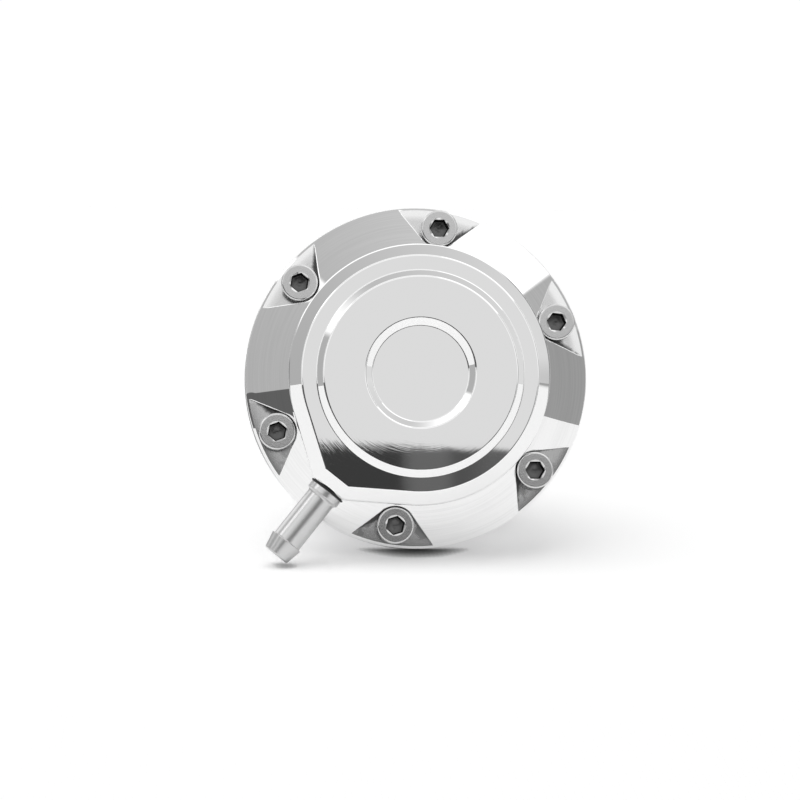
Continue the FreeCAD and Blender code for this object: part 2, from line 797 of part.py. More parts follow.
pieces = {
    "top_cap": top_cap,
    "cap_screws": cap_screws,
    "hose_nipple": hose_nipple,
    "nipple_seal": nipple_seal,
    "housing": housing,
    "diaphragm": diaphragm,
    "piston_cup": piston_cup,
    "retainer_plate": retainer_plate,
    "piston_lock_washer": piston_lock_washer,
    "piston_backing_washer": piston_backing_washer,
    "piston_nut": piston_nut,
    "spring_seat": spring_seat,
    "outer_spring": outer_spring,
    "inner_spring": inner_spring,
    "guide_bush": guide_bush,
    "wiper_seal": wiper_seal,
    "guide_circlip": guide_circlip,
    "actuator_rod": actuator_rod,
    "rod_lock_nut": rod_lock_nut,
    "rod_end": rod_end,
    "mount_studs": mount_studs,
}

os.makedirs("parts", exist_ok=True)
for name, build in pieces.items():
    shape = build()
    if not shape.isValid():
        print("not valid:", name)
    shape.exportStep("parts/" + name + ".step")
    box = shape.BoundBox
    print("%-22s %9.1f mm3  solids %d  y %.2f to %.2f" % (
        name, shape.Volume, len(shape.Solids), box.YMin, box.YMax))
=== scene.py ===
import bmesh
import bpy
import numpy as np
from mathutils import Matrix, Vector


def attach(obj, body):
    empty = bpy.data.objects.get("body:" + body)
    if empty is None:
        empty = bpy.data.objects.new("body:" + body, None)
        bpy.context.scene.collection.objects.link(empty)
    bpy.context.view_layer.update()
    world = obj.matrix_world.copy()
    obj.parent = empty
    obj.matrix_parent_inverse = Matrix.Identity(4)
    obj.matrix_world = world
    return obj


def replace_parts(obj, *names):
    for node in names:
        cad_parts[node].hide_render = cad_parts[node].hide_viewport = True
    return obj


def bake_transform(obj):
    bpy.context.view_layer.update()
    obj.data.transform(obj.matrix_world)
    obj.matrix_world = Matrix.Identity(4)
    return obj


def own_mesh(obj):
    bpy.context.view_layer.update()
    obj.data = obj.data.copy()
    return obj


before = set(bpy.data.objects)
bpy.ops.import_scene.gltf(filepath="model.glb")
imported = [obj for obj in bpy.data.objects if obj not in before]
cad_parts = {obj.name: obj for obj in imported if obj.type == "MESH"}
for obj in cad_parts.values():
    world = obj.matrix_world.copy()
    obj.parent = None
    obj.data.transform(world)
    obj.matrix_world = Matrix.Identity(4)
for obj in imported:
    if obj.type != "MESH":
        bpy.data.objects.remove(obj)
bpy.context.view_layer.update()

# Sizes are in millimetres, as in the part's source, and become metres in the meshes. Materials
# and the world work in metres. The axis is Y, the cap faces -Y, and angles run from +X towards +Z
# as they are seen from the cap's side.


# ---- Top cap ------------------------------------------------------------------------------------
# A disc of billet aluminium, turned with a raised boss and drawn out to a flat nose where the
# nipple screws in. Six pockets for the screw heads are milled into its skirt. A wheel then
# polishes everything but the pockets, rounds the edges a little and leaves fine rings.

def linear(code):
    """The linear colour of an sRGB hex value: v/12.92 up to 0.04045, else ((v+0.055)/1.055)^2.4."""
    v = np.array([int(code[k:k + 2], 16) / 255 for k in (0, 2, 4)])
    return *np.where(v <= 0.04045, v / 12.92, ((v + 0.055) / 1.055) ** 2.4).tolist(), 1.0


def add(tree, kind, inputs=(), **settings):
    """Adds a node: settings are its own choices, inputs its sockets' values, nodes or outputs."""
    made = tree.nodes.new("ShaderNode" + kind)
    for name, value in settings.items():
        setattr(made, name, value)
    for name, value in dict(inputs).items():
        value = value.outputs[0] if isinstance(value, bpy.types.Node) else value
        if isinstance(value, bpy.types.NodeSocket):
            tree.links.new(value, made.inputs[name])
        else:
            made.inputs[name].default_value = value
    return made


def surface_of(name, colour, roughness, metallic=1.0):
    """A material with one principled shader. Returns the material, its tree and the shader."""
    material = bpy.data.materials.new(name)
    material.use_nodes = True
    shader = material.node_tree.nodes["Principled BSDF"]
    shader.inputs["Base Color"].default_value = linear(colour)
    shader.inputs["Roughness"].default_value = roughness
    shader.inputs["Metallic"].default_value = metallic
    return material, material.node_tree, shader


def ring_noise(tree, place, spacing, sweep, detail=2.0):
    """Noise in rings about the Y axis: noise at (sweep cos a, sweep sin a, (radius + y) / spacing),
    with spacing in millimetres. A mark runs along its ring and fades in about 1 / sweep radians."""
    xyz = add(tree, "SeparateXYZ", {0: place})
    flat = add(tree, "CombineXYZ", {0: xyz.outputs[0], 1: xyz.outputs[2]})
    radius = add(tree, "VectorMath", {0: flat}, operation="LENGTH").outputs["Value"]
    bearing = add(tree, "VectorMath", {0: flat}, operation="NORMALIZE")
    around = add(tree, "VectorMath", {0: bearing, 3: sweep}, operation="SCALE")
    path = add(tree, "Math", {0: radius, 1: xyz.outputs[1]})
    ring = add(tree, "Math", {0: path, 1: 1000 / spacing}, operation="MULTIPLY")
    rising = add(tree, "CombineXYZ", {2: ring})
    point = add(tree, "VectorMath", {0: around, 1: rising})
    return add(tree, "TexNoise", {"Vector": point, "Scale": 1.0, "Detail": detail})


def eased(corners, rounds, steps=4, closed=False):
    """A profile with its corners turned on arcs. Each arc starts rounds * tan(turn / 2) before its
    corner, and its heading grows evenly through the turn from the run before to the run after. A
    point 0.02 before each arc and one after it keep the shading of the runs straight."""
    p = np.array(corners, float)
    back, on = p - np.roll(p, 1, 0), np.roll(p, -1, 0) - p
    if not closed:
        back[0], on[-1] = on[0], back[-1]
    back, on = [run / np.linalg.norm(run, axis=1)[:, None] for run in (back, on)]
    heading = np.arctan2(back[:, 1], back[:, 0])
    turn = (np.arctan2(on[:, 1], on[:, 0]) - heading + np.pi) % (2 * np.pi) - np.pi
    radius = np.broadcast_to(rounds, len(p)) * np.sign(turn)
    start = p - (radius * np.tan(turn / 2))[:, None] * back
    angle = heading[:, None] + turn[:, None] * np.linspace(0, 1, steps + 1)
    angle = np.stack([heading[:, None] + 0 * angle, angle])
    left = radius[:, None, None] * np.stack([-np.sin(angle), np.cos(angle)], -1)
    line = start[:, None] + left[0] - left[1]
    guard = 0.02 * (np.broadcast_to(rounds, len(p)) > 0)[:, None]
    line = np.concatenate([(line[:, 0] - guard * back)[:, None], line,
                           (line[:, -1] + guard * on)[:, None]], 1).reshape(-1, 2)
    return np.vstack([line, line[:1]]) if closed else line


def turned(profile, angles, origin=(0, 0, 0), axis=(0, 1, 0), start=(1, 0, 0)):
    """The surface of a profile of radius r and height h turned about an axis:
    origin + r cos(a) start + r sin(a) start x axis + h axis."""
    r, h = np.array(profile, float).T[:, :, None, None]
    cos, sin = np.cos(angles)[None, :, None], np.sin(angles)[None, :, None]
    side = np.cross(start, axis)
    return np.array(origin) + r * (cos * np.array(start) + sin * side) + h * np.array(axis)


def about_axis(radius, y, angle):
    """Points at a radius and an angle about the Y axis: (radius cos a, y, radius sin a)."""
    return np.stack(np.broadcast_arrays(radius * np.cos(angle), y, radius * np.sin(angle)), -1)


def evenly_shaded(piece):
    """Smooth normals, each the average of its faces by their areas. An edge that turns more than
    24 degrees, as at a tool's corner, stays sharp."""
    piece.data.shade_smooth()
    piece.data.set_sharp_from_angle(angle=np.radians(24))
    piece.modifiers.new("Even shading", "WEIGHTED_NORMAL").keep_sharp = True
    return piece


def skin(name, *groups):
    """One mesh of surfaces, each a grid of points, whose squares become the faces. Points nearer
    than a tenth of a micrometre become one, and each group of surfaces has its own material."""
    points, faces, kinds, count = [], [], [], 0
    for kind, group in enumerate(groups):
        for grid in group:
            rows, columns = grid.shape[:2]
            at = np.arange(rows * columns).reshape(rows, columns) + count
            quads = np.stack([at[:-1, :-1], at[:-1, 1:], at[1:, 1:], at[1:, :-1]], -1)
            points.append(grid.reshape(-1, 3))
            faces.append(quads.reshape(-1, 4))
            kinds.append(np.full(len(faces[-1]), kind))
            count += rows * columns
    points, faces, kinds = np.vstack(points), np.vstack(faces), np.concatenate(kinds)
    _, first, same = np.unique(np.round(points * 1e4).astype(np.int64), axis=0,
                               return_index=True, return_inverse=True)
    faces = same.reshape(-1)[faces]
    new = faces != np.roll(faces, 1, 1)
    whole, three = new.all(1), new.sum(1) == 3
    corners = faces[three][new[three]].reshape(-1, 3)
    mesh = bpy.data.meshes.new(name)
    mesh.from_pydata(points[first] * 0.001, [], faces[whole].tolist() + corners.tolist())
    mesh.polygons.foreach_set("material_index", np.r_[kinds[whole], kinds[three]].astype(np.int32))
    shell = bmesh.new()
    shell.from_mesh(mesh)
    bmesh.ops.recalc_face_normals(shell, faces=shell.faces)
    shell.to_mesh(mesh)
    shell.free()
    piece = bpy.data.objects.new(name, mesh)
    bpy.context.scene.collection.objects.link(piece)
    return evenly_shaded(piece)


def fitted(piece, node, body, slot, *materials):
    """Gives a piece its materials and body, and lets it stand for its CAD node.
    The slot is not used.
    """
    for material in materials:
        piece.data.materials.append(material)
    if body:
        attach(piece, body)
    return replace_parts(piece, node)


SCREW_CIRCLE = 35.0  # the radius that the screws stand on
SCREW_ANGLES = np.radians(21.6 + 60 * np.arange(6))
NIPPLE_ANGLE = np.radians(231.6)
OUT = np.array([np.cos(NIPPLE_ANGLE), 0, np.sin(NIPPLE_ANGLE)])  # the way the nipple points
BOSS, FOOT = 30.2, 39.4  # radii of the boss and of the skirt's outer edge
RIM_Y, SKIRT_RISE = -46.0, 5.0  # the front of the rim, and how far the skirt rises to the boss
NOSE_FLAT = 33.75  # from the axis to the nose's flat end


def skirt_height(radius):
    """The skirt's cone, straight from RIM_Y at the foot to RIM_Y - SKIRT_RISE at the boss."""
    return RIM_Y - SKIRT_RISE * (FOOT - radius) / (FOOT - BOSS)


# The boss's outline as a path s of centre, radius and direction: the point is centre + radius
# times the unit vector of the direction. Its runs are the circle, a side of the nose, a corner,
# the nose's flat, a corner and the other side. Moving it in takes the inset off the radius.
nose_side, nose_corner = np.radians(34.4), 3.4
nose_reach = NOSE_FLAT - nose_corner
nose_across = np.array([-OUT[2], 0, OUT[0]])
nose_half = (BOSS - nose_corner - nose_reach * np.cos(nose_side)) / np.sin(nose_side)
corner_before = OUT * nose_reach - nose_across * nose_half
corner_after = OUT * nose_reach + nose_across * nose_half
path = np.array([
    (*np.zeros(3), BOSS, nose_side),
    (*np.zeros(3), BOSS, 2 * np.pi - nose_side),
    (*corner_before, nose_corner, 2 * np.pi - nose_side),
    (*corner_before, nose_corner, 2 * np.pi),
    (*corner_after, nose_corner, 2 * np.pi),
    (*corner_after, nose_corner, 2 * np.pi + nose_side),
    (*np.zeros(3), BOSS, 2 * np.pi + nose_side)])
path[:, 4] += NIPPLE_ANGLE


def outline(s, inset):
    """Points of the boss's outline moved in: centre(s) + (radius(s) - inset) * direction(s)."""
    x, _, z, radius, heading = (np.interp(s, np.arange(7), column) for column in path.T)
    inset = np.array(inset)[..., None]
    return x + (radius - inset) * np.cos(heading), z + (radius - inset) * np.sin(heading)


def polar(s):
    """Radius and growing angle of the outline's points, seen from the axis."""
    x, z = outline(s, 0)
    return np.hypot(x, z), np.unwrap(np.arctan2(z, x))


# The stations along it: many on the circle, about a dozen on each short run, and one at each
# screw's angle, with no others too close to it. The list starts and ends at the last screw.
fine = np.linspace(0, 6, 60001)
fine_angle = polar(fine)[1]
bearings = fine_angle[0] + (SCREW_ANGLES - fine_angle[0]) % (2 * np.pi)
at_screws = np.interp(bearings, fine_angle, fine)
s = np.concatenate([np.linspace(run, run + 1, stations)[:-1]
                    for run, stations in enumerate((500, 13, 13, 11, 13, 13))])
s = s[(np.abs(s[:, None] - at_screws) > 0.0008).all(1) | (s % 1 == 0)]
s = np.unique(np.append(s, at_screws))
s = np.roll(s, -np.argmin(np.abs(s - at_screws[5])))
s = np.append(s, s[0])
wall_radius, wall_angle = polar(s)

# The turned front: the recess, the raised ring and the flat round it as a profile (radius, y),
# then the boss's chamfer and wall as a profile (inset, y) whose foot follows the skirt. eased gives
# seven points a corner, and the edge's first and last corner only set the way it starts and ends.
front = eased([(0, -61.63), (11.1, -61.63), (12.66, -63.0), (22.25, -63.0), (23.8, -61.63),
               (24.4, -61.63)], [0, 0.45, 0.6, 0.6, 0.4, 0])
edge = eased([(3.6, -61.63), (3.0, -61.63), (0, -58.6), (0, -50.0)], [0, 0.6, 1.2, 0])[7:-7]
centre = about_axis(front[:, :1], front[:, 1:], wall_angle)
edge_x, edge_z = outline(s, edge[:, 0])
boss = np.stack([edge_x, edge[:, 1:] + 0 * edge_x, edge_z], -1)
foot = about_axis(wall_radius, skirt_height(wall_radius), wall_angle)[None]
polished, milled = [np.concatenate([centre, boss, foot])], []

# A pocket's edge: round the screw's axis for 45 degrees from its innermost point, then straight
# out at 45 degrees to the rim. Its plan is (radial, aside) = (35 - p cos a, p sin a), and then
# the tangent point + t (1, 1), with t so that the last point lies on the rim's edge.
turn_in, run_out = np.linspace(0, np.pi / 4, 9), np.linspace(0, 1, 17)[1:]
POCKET, POCKET_BREAK = 4.55, 0.22  # a pocket's radius, and how far its edge is rounded over


def pocket_edge(p):
    """Radius and half angle of the pocket's edge for a pocket of radius p, a value for each row."""
    q = p * np.sqrt(0.5)
    reach = (np.sqrt(SCREW_CIRCLE ** 2 - 2 * (SCREW_CIRCLE ** 2 - 2 * SCREW_CIRCLE * q
                                              + 2 * q ** 2 - FOOT ** 2)) - SCREW_CIRCLE) / 2
    n = len(turn_in)
    t = reach * np.r_[np.zeros(n), run_out]
    radial = np.r_[SCREW_CIRCLE - p[:n] * np.cos(turn_in), (SCREW_CIRCLE - q + t)[n:]]
    aside = np.r_[p[:n] * np.sin(turn_in), (q + t)[n:]]
    return np.hypot(radial, aside), np.arctan2(aside, radial)


# The wheel rounded each wall's upper edge on a curve (1 - u)^2 A + 2 u (1 - u) B + u^2 C, from A
# on the skirt over the sharp edge B to C, a drop lower on the wall.
pocket = np.full(len(turn_in) + len(run_out), POCKET)
wall_r, wall_half = pocket_edge(pocket)
drop = np.minimum(POCKET_BREAK, 0.45 * (RIM_Y - skirt_height(wall_r)))
top_r, top_half = pocket_edge(pocket + drop)
rows = np.r_[0, (top_r - BOSS) / (FOOT - BOSS)][:, None]
half = np.r_[0, top_half][:, None]
u = np.linspace(0, 1, 9)[:, None, None]
mirror = np.r_[-np.ones(len(pocket)), np.ones(len(pocket))]
both = np.r_[np.arange(len(pocket))[::-1], np.arange(len(pocket))]
floor_share = np.linspace(-1, 1, 15)
rim_angles = []
borders = [int(np.argmin(np.abs(wall_angle - wall_angle[0] - k * np.pi / 3))) for k in range(7)]
for k in range(6):
    # The skirt from this screw to the next, in rows that leave half a pocket at each end.
    part = slice(borders[k], borders[k + 1] + 1)
    angle, inner = wall_angle[part], wall_radius[part]
    share = (angle - angle[0]) / (angle[-1] - angle[0])
    land_angle = angle + half * (1 - 2 * share)
    land_r = inner + (FOOT - inner) * rows
    polished.append(about_axis(land_r, skirt_height(land_r), land_angle))

    # The pocket at this screw: its rounded edge, its wall and its floor.
    middle, innermost = angle[0], inner[0]
    row_r = [innermost + (FOOT - innermost) * (r - BOSS) / (FOOT - BOSS) for r in (top_r, wall_r)]
    on_skirt, sharp = [about_axis(r[both], skirt_height(r)[both], middle + mirror * a[both])
                       for r, a in zip(row_r, (top_half, wall_half))]
    on_wall = sharp + drop[both, None] * np.array([0, 1, 0])
    polished.append((1 - u) ** 2 * on_skirt + 2 * u * (1 - u) * sharp + u ** 2 * on_wall)
    milled.append(np.stack([on_wall, sharp * [1, 0, 1] + [0, RIM_Y, 0]]))
    floor_angle = middle + wall_half[:, None] * floor_share
    milled.append(about_axis(row_r[1][:, None], RIM_Y, floor_angle))
    rim_angles += [floor_angle[-1][:-1], land_angle[-1][:-1]]
rim_angles = np.append(np.concatenate(rim_angles), rim_angles[0][0] + 2 * np.pi)

# The rim, and the hidden underside with the chamber and the ring that stops the piston.
under = eased([(FOOT, RIM_Y), (40, skirt_height(40)), (40, -42), (27.7, -42), (26.5, -43.2),
               (26.5, -58.5), (15.5, -58.5), (15.5, -53.1), (12.5, -53.1), (12.5, -58.5),
               (0, -58.5)],
              [0, 0.3, 0.3, 0.2, 0.2, 2.0, 0.3, 0.2, 0.2, 0.3, 0])
polished.append(turned(under, rim_angles))

# Polished aluminium: cut, then buffed on a wheel while it turned. It gives the eye a clear but
# slightly wavy mirror. The waves are 7 mm wide and 2 micrometres deep. The buffing lines are
# 0.02 mm apart, too fine to show, so they are drawn 0.25 mm apart. Their slope is a fraction of a
# degree and only frays the edges of reflections, most on the nose's side.
polished_aluminium, tree, shader = surface_of("polished_aluminium", "F7F7F7", 0.014)
place = add(tree, "TexCoord").outputs["Object"]
lines = ring_noise(tree, place, 0.25, 4.0, 3.0)
waves = add(tree, "TexNoise", {"Vector": place, "Scale": 140.0, "Detail": 1.0})
to_nose = add(tree, "VectorMath", {0: place, 1: OUT}, operation="DOT_PRODUCT").outputs["Value"]
depth = add(tree, "MapRange", {0: to_nose, 1: 0.010, 2: 0.028, 3: 0.8, 4: 4.5})
lines = add(tree, "Math", {0: lines, 1: depth}, operation="MULTIPLY")
level = add(tree, "Math", {0: waves, 1: 14.0, 2: lines}, operation="MULTIPLY_ADD")
bump = add(tree, "Bump", {"Strength": 1.0, "Distance": 1.6e-7, "Height": level})
tree.links.new(bump.outputs[0], shader.inputs["Normal"])
# The skirt, behind y = -51.5 mm, was buffed least: faint streaks 0.5 mm wide stay on it.
streaks = ring_noise(tree, place, 0.5, 1.6, 3.0)
xyz = add(tree, "SeparateXYZ", {0: place})
on_skirt = add(tree, "MapRange", {0: xyz.outputs[1], 1: -0.0530, 2: -0.0515})
streaked = add(tree, "MapRange", {0: streaks, 1: 0.36, 2: 0.66})
streaked = add(tree, "Math", {0: streaked, 1: on_skirt}, operation="MULTIPLY")
shade = add(tree, "Mix", {0: streaked, 6: linear("F7F7F7"), 7: linear("F1F1F1")},
            data_type="RGBA")
tree.links.new(shade.outputs[2], shader.inputs["Base Color"])

# Milled aluminium: the end mill's arcs, about 0.3 mm apart and 1.5 micrometres deep, left as they
# were cut. They spread a reflection sideways, so the floors look satin.
milled_aluminium, tree, shader = surface_of("milled_aluminium", "F2F2F2", 0.17)
place = add(tree, "TexCoord").outputs["Object"]
arcs = ring_noise(tree, place, 0.3, 3.0, 2.0)
xyz = add(tree, "SeparateXYZ", {0: place})
height_up = xyz.outputs[2]  # how high a point stands as the actuator lies in the photograph
flat = add(tree, "CombineXYZ", {0: xyz.outputs[0], 1: xyz.outputs[2]})
far = add(tree, "VectorMath", {0: flat}, operation="LENGTH").outputs["Value"]
# The polishing wheel also rounded the floors over towards the rim, those of the upper pockets
# most: beyond a radius of 36.8 mm they fall by 3 to 34 times the square of the distance in metres.
past = add(tree, "Math", {0: far, 1: 0.0368}, operation="SUBTRACT")
past = add(tree, "Math", {0: past, 1: 0.0}, operation="MAXIMUM")
fall = add(tree, "Math", {0: past, 1: 2.0}, operation="POWER")
steep = add(tree, "MapRange", {0: height_up, 1: -0.006, 2: 0.004, 3: -3.0, 4: -34.0})
fall = add(tree, "Math", {0: fall, 1: steep}, operation="MULTIPLY")
height = add(tree, "Math", {0: arcs, 1: 1.5e-6, 2: fall}, operation="MULTIPLY_ADD")
bump = add(tree, "Bump", {"Strength": 1.0, "Distance": 1.0, "Height": height})
tree.links.new(bump.outputs[0], shader.inputs["Normal"])
# Beside the wall on the clockwise side, where the mill enters, the floor's corner is rougher and
# painted dark: painted shade from the wall. Measured along and aside of the nearest screw's radius,
# the wall's line is along + aside = 28.57 mm. The strip of painted shade is 3.4 mm wide at its
# inner end, narrows to nothing at the rim and has an edge that wanders by 1.1 mm to both sides.
bearing = add(tree, "Math", {0: xyz.outputs[2], 1: xyz.outputs[0]}, operation="ARCTAN2")
bearing = add(tree, "Math", {0: bearing, 1: SCREW_ANGLES[0] - np.pi / 6}, operation="SUBTRACT")
bearing = add(tree, "Math", {0: bearing, 1: np.pi / 3}, operation="FLOORED_MODULO")
bearing = add(tree, "Math", {0: bearing, 1: np.pi / 6}, operation="SUBTRACT")
along, aside = [add(tree, "Math", {0: add(tree, "Math", {0: bearing}, operation=part), 1: far},
                    operation="MULTIPLY") for part in ("COSINE", "SINE")]
off_wall = add(tree, "Math", {0: along, 1: aside})
off_wall = add(tree, "Math", {0: off_wall, 1: 0.02857}, operation="SUBTRACT")
width = add(tree, "MapRange", {0: far, 1: 0.0325, 2: 0.0392, 3: 0.0034, 4: 0.0})
ragged = add(tree, "TexNoise", {"Vector": place, "Scale": 900.0, "Detail": 3.0})
ragged = add(tree, "Math", {0: ragged, 1: 0.0022, 2: off_wall}, operation="MULTIPLY_ADD")
ragged = add(tree, "Math", {0: ragged, 1: 0.0011}, operation="SUBTRACT")
painted_shade = add(tree, "Math", {0: width, 1: ragged}, operation="SUBTRACT")
painted_shade = add(tree, "MapRange", {0: painted_shade, 1: -0.0004, 2: 0.0012}, interpolation_type="SMOOTHSTEP")
# The lower pockets get blotches of painted shade 3 mm wide, darker the lower they lie.
painted_shade_blots = add(tree, "TexNoise", {"Vector": place, "Scale": 330.0, "Detail": 2.0})
painted_shade_blots = add(tree, "MapRange", {0: painted_shade_blots, 1: 0.48, 2: 0.60}, interpolation_type="SMOOTHSTEP")
lower = add(tree, "MapRange", {0: height_up, 1: -0.008, 2: -0.032, 3: 0.0, 4: 0.75})
painted_shade_blots = add(tree, "Math", {0: painted_shade_blots, 1: lower}, operation="MULTIPLY")
painted_shade = add(tree, "Math", {0: painted_shade, 1: painted_shade_blots}, operation="MAXIMUM")
# Their floors are painted dark along the last 2 mm before the rim: painted shade where they roll
# over.
lip = add(tree, "MapRange", {0: far, 1: 0.0378, 2: 0.0397, 3: 0.0, 4: 0.9})
low_side = add(tree, "MapRange", {0: height_up, 1: -0.004, 2: -0.016})
lip = add(tree, "Math", {0: lip, 1: low_side}, operation="MULTIPLY")
painted_shade = add(tree, "Math", {0: painted_shade, 1: lip}, operation="MAXIMUM")
# The mill's side left the pockets' walls rougher than their floors, and they are painted darker as
# painted shade.
upright = add(tree, "SeparateXYZ", {0: add(tree, "TexCoord").outputs["Normal"]}).outputs[1]
upright = add(tree, "Math", {0: upright}, operation="ABSOLUTE")
upright = add(tree, "MapRange", {0: upright, 1: 0.3, 2: 0.7, 3: 0.9, 4: 0.0})
painted_shade = add(tree, "Math", {0: painted_shade, 1: upright}, operation="MAXIMUM")
# Where the mask is full, the grey F2F2F2 turns to 6E6E6E: painted shade.
shade = add(tree, "Mix", {0: painted_shade, 6: linear("F2F2F2"), 7: linear("6E6E6E")}, data_type="RGBA")
tree.links.new(shade.outputs[2], shader.inputs["Base Color"])
dull = add(tree, "MapRange", {0: painted_shade, 3: 0.17, 4: 0.36})
tree.links.new(dull.outputs[0], shader.inputs["Roughness"])

fitted(skin("cap", polished, milled), "top_cap", "housing", "polished_aluminium",
       polished_aluminium, milled_aluminium)


# ---- Cap screws ---------------------------------------------------------------------------------
# Six M5 socket head screws of stainless steel, forged and then tumbled. They pass through the cap
# into the tapped flange, and their heads stand on the pockets' floors.

def grained(name, colour, roughness, grain, depth, metallic=1.0):
    """A material covered by noise, with its grain and its depth in millimetres."""
    material, tree, shader = surface_of(name, colour, roughness, metallic)
    place = add(tree, "TexCoord").outputs["Object"]
    noise = add(tree, "TexNoise", {"Vector": place, "Scale": 1000 / grain, "Detail": 2.0})
    bump = add(tree, "Bump", {"Strength": 1.0, "Distance": depth / 1000, "Height": noise})
    tree.links.new(bump.outputs[0], shader.inputs["Normal"])
    return material


# The socket is a hexagon of 4 mm over its flats, at radius 2 / cos(a - 30) in each sixth. Its
# mouth is chamfered from a circle, and its floor has the punch's dimple. Each screw stands turned
# as its tightening left it.
FULL = np.linspace(0, 2 * np.pi, 121)  # a whole turn in steps of 3 degrees
HEX, HEX_DEPTH, MOUTH = 2.0, 2.6, 2.42
HEAD_Y = RIM_Y - 5.0
socket_y = HEAD_Y + HEX_DEPTH
shank = eased([(0, -36.0), (2.24, -36.0), (2.24, RIM_Y), (4.25, RIM_Y), (4.25, HEAD_Y),
               (MOUTH, HEAD_Y)], [0, 0.3, 0, 0.15, 0.42, 0], 5)
to_hex = HEX / np.cos(FULL % (np.pi / 3) - np.pi / 6)
mouth = HEAD_Y + (MOUTH - to_hex) * 0.55
heads, sockets, floors = [], [], []
for angle, turn in zip(SCREW_ANGLES, np.radians([-6, 0, 21, 20, 17, 0])):
    for radius, height, group in (
            (np.vstack([shank[:, :1] + 0 * FULL, to_hex]),
             np.vstack([shank[:, 1:] + 0 * FULL, mouth]), heads),
            (np.stack([to_hex, to_hex, to_hex, to_hex - 0.3]),
             np.stack([mouth, mouth + 0.05, socket_y + 0 * FULL, socket_y + 0 * FULL]), sockets),
            (np.stack([to_hex - 0.3, 0.8 + 0 * FULL, 0.4 + 0 * FULL, 0 * FULL]),
             socket_y + np.array([[0.0, 0.1, 0.32, 0.36]]).T + 0 * FULL, floors)):
        group.append(np.stack([SCREW_CIRCLE * np.cos(angle) + radius * np.cos(turn + FULL), height,
                               SCREW_CIRCLE * np.sin(angle) + radius * np.sin(turn + FULL)], -1))

# Stainless steel, tumbled: a grey satin. Its grain of 0.1 mm is too fine to show and is drawn
# 0.35 mm wide. The sockets' walls are painted dark as painted shade, and their floors are painted
# a little less dark: painted shade, lighter where they face the opening.
stainless = grained("tumbled_stainless_steel", "DADADA", 0.16, 0.35, 0.004)
scale = grained("painted_shade_socket_steel", "2E2E2E", 0.35, 0.3, 0.008)
socket_floor = grained("painted_shade_socket_floor", "626262", 0.3, 0.3, 0.01)
fitted(skin("head_screws", heads, sockets, floors), "cap_screws", "housing", "screw_steel",
       stainless, scale, socket_floor)


# ---- Hose nipple and its seal -------------------------------------------------------------------
# A hose barb turned from steel and nickel plated. It is screwed into the nose and stands on a
# black sealing ring.

seat = OUT * NOSE_FLAT + [0, -54.6, 0]
nipple = eased([(1.7, -5.6), (2.67, -5.6), (2.67, 0.4), (4.15, 0.4), (4.15, 1.95), (3.5, 2.5),
                (3.5, 15.1), (4.0, 15.1), (3.2, 18.95), (2.9, 19.2), (1.7, 19.2)],
               [0, 0.2, 0, 0.2, 0.3, 0.6, 0.1, 0.18, 0.3, 0.15, 0.2], 4, closed=True)
# Bright nickel over turned steel: a soft satin. Its grain of 0.1 mm is drawn 0.35 mm wide.
nickel = grained("nickel_plate", "D0D0D0", 0.28, 0.35, 0.005)
fitted(skin("barb", [turned(nipple, FULL, seat, OUT, (0, -1, 0))]), "hose_nipple",
       "housing", "plated_steel", nickel)

seal = eased([(2.7, 0), (4.4, 0), (4.4, 0.4), (2.7, 0.4)], 0.12, 4, closed=True)
# Nitrile rubber, moulded: black with a slight sheen and the mould's grain of 0.4 mm.
rubber = grained("nitrile_rubber", "1B1B1C", 0.5, 0.4, 0.01, 0.0)
fitted(skin("sealing_ring", [turned(seal, FULL, seat, OUT, (0, -1, 0))]), "nipple_seal",
       "housing", "black_rubber", rubber)


# ---- Housing ------------------------------------------------------------------------------------
# The lower half, turned from a second billet: the flange that the cap is screwed to, the canister
# for the springs, and the mounting face. A vent lets the air out of the spring side.

def lined(name, colour, roughness, spacing, depth):
    """A turned metal: fine rings about the Y axis, with spacing and depth in millimetres."""
    material, tree, shader = surface_of(name, colour, roughness)
    rings = ring_noise(tree, add(tree, "TexCoord").outputs["Object"], spacing, 1.5)
    bump = add(tree, "Bump", {"Strength": 1.0, "Distance": depth / 1000, "Height": rings})
    tree.links.new(bump.outputs[0], shader.inputs["Normal"])
    return material


def bored(piece, *cutters):
    """Cuts closed shells out of a piece with the Boolean modifier and keeps the result."""
    shell = skin("cutters", cutters)
    cut = piece.modifiers.new("Bores", "BOOLEAN")
    cut.solver, cut.object = "EXACT", shell
    piece.modifiers.remove(piece.modifiers["Even shading"])
    done = piece.evaluated_get(bpy.context.evaluated_depsgraph_get())
    mesh = bpy.data.meshes.new_from_object(done)
    piece.modifiers.clear()
    piece.data = mesh
    bpy.data.objects.remove(shell)
    return evenly_shaded(piece)


def plug(radius, low, high, mouth=0.0, slope=0.0, **where):
    """A closed bar to bore with from low to high. Over the last slope of its way it widens by the
    mouth, which chamfers the hole, and it stands 2 mm out of the hole."""
    line = [(0, low), (radius, low), (radius, high - slope), (radius + mouth, high),
            (radius + mouth, high + 2), (0, high + 2)]
    return turned(line, FULL, **where)


# The profile runs over the mounting face, the canister's outside, the flange, the groove for the
# diaphragm's bead, the spring chamber, and the guide's bore with the groove for its clip.
body = eased([(8.9, 0), (25.0, 0), (31.5, -8.0), (31.5, -36.0), (39.5, -36.0), (40.0, -36.5),
              (40.0, -42.0), (31.5, -42.0), (31.5, -41.2), (31.4, -41.2), (31.4, -39.7),
              (29.2, -39.7), (29.2, -41.2), (27.5, -41.2), (27.5, -9.0), (10.0, -9.0),
              (10.0, -34.7), (6.02, -34.7), (6.02, -6.0), (8.52, -6.0), (8.52, -1.6),
              (9.1, -1.6), (9.1, -0.4), (8.52, -0.4)],
             [0.1, 0.5, 1.0, 3.0, 0.2, 0.2, 0.3, 0, 0, 0, 0.2, 0.2, 0.2, 0.3, 2.0, 2.0, 0.4, 0.1,
              0.1, 0, 0, 0, 0, 0.1], 6, closed=True)
STUD_PLACES = (-19.0, 19.0)  # along X
